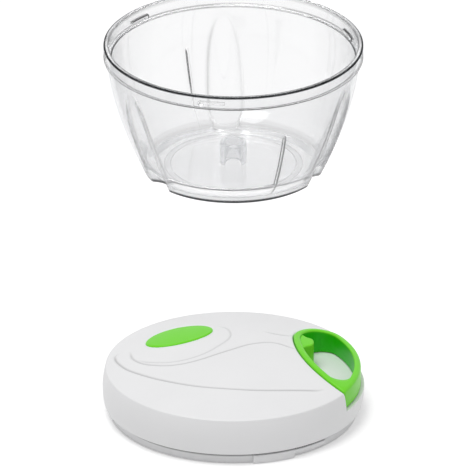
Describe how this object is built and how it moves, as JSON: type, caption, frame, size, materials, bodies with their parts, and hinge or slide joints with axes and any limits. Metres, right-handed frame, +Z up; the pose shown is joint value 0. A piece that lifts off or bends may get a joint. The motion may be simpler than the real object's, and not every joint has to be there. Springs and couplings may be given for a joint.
{
  "type": "pull-string food chopper",
  "caption": "Hand chopper taken apart: clear bowl with fluted wall and centre post, white lid with a green pull handle on a cord and spring drum, and a bladed shaft.",
  "frame": {"origin": "centre of the bowl's base, on the surface that the pieces stand on", "axes": "+Z up along the bowl's axis, -Y from the bowl towards the lid in front of it, +X the way the handle pulls out"},
  "size_m": [0.2506, 0.4056, 0.066],
  "materials": {
    "clear_plastic": "clear gloss",
    "white_plastic": "satin",
    "green_plastic": "satin gloss",
    "grey_rubber": "matte",
    "grey_plastic": "satin",
    "steel": "brushed",
    "bronze": "satin",
    "cord": "braided"
  },
  "bodies": {
    "bowl": {"bowl": "clear_plastic"},
    "lid": {"top_cover": "white_plastic", "oval_inlay": "green_plastic", "lid_base": "white_plastic", "rim_seal": "grey_rubber", "cord_eyelet": "steel", "base_screws": "steel", "drive_bush": "bronze", "shaft_seal": "grey_rubber", "spring_plate": "white_plastic", "return_spring": "steel"},
    "handle": {"pull_handle": "green_plastic", "cord_run": "cord", "cord_knot": "cord"},
    "drum": {"cord_drum": "white_plastic", "drum_flange": "white_plastic", "cord_winding": "cord", "drum_washer": "steel", "drive_socket": "grey_plastic", "drive_screw": "steel"},
    "blade_unit": {"blade_shaft": "white_plastic", "shaft_foot": "grey_rubber", "lower_blade": "steel", "middle_blade": "steel", "upper_blade": "steel", "lower_sleeve": "white_plastic", "middle_sleeve": "white_plastic", "upper_sleeve": "white_plastic", "drive_key": "grey_plastic"}
  },
  "joints": [
    {"name": "lid_lift", "type": "slide", "parent": "bowl", "child": "lid", "axis": [0, 0, 1], "range_m": [0, 0.12]},
    {"name": "handle_pull", "type": "slide", "parent": "lid", "child": "handle", "axis": [1, 0, 0], "range_m": [0, 0.38], "deforming": ["cord_run"]},
    {"name": "drum_spin", "type": "hinge", "parent": "lid", "child": "drum", "pos_m": [0, -0.279, 0.015], "axis": [0, 0, 1], "range_deg": [-1146, 0], "stiffness_Nm_per_rad": 0.004, "springref_deg": 572.96, "deforming": ["return_spring"]},
    {"name": "blade_spin", "type": "hinge", "parent": "bowl", "child": "blade_unit", "pos_m": [-0.156, -0.144, 0.03], "axis": [0, 0, 1], "continuous": true}
  ],
  "couplings": [
    {"joint": "drum_spin", "follows": "handle_pull", "rad_per_m": -52.632}
  ]
}
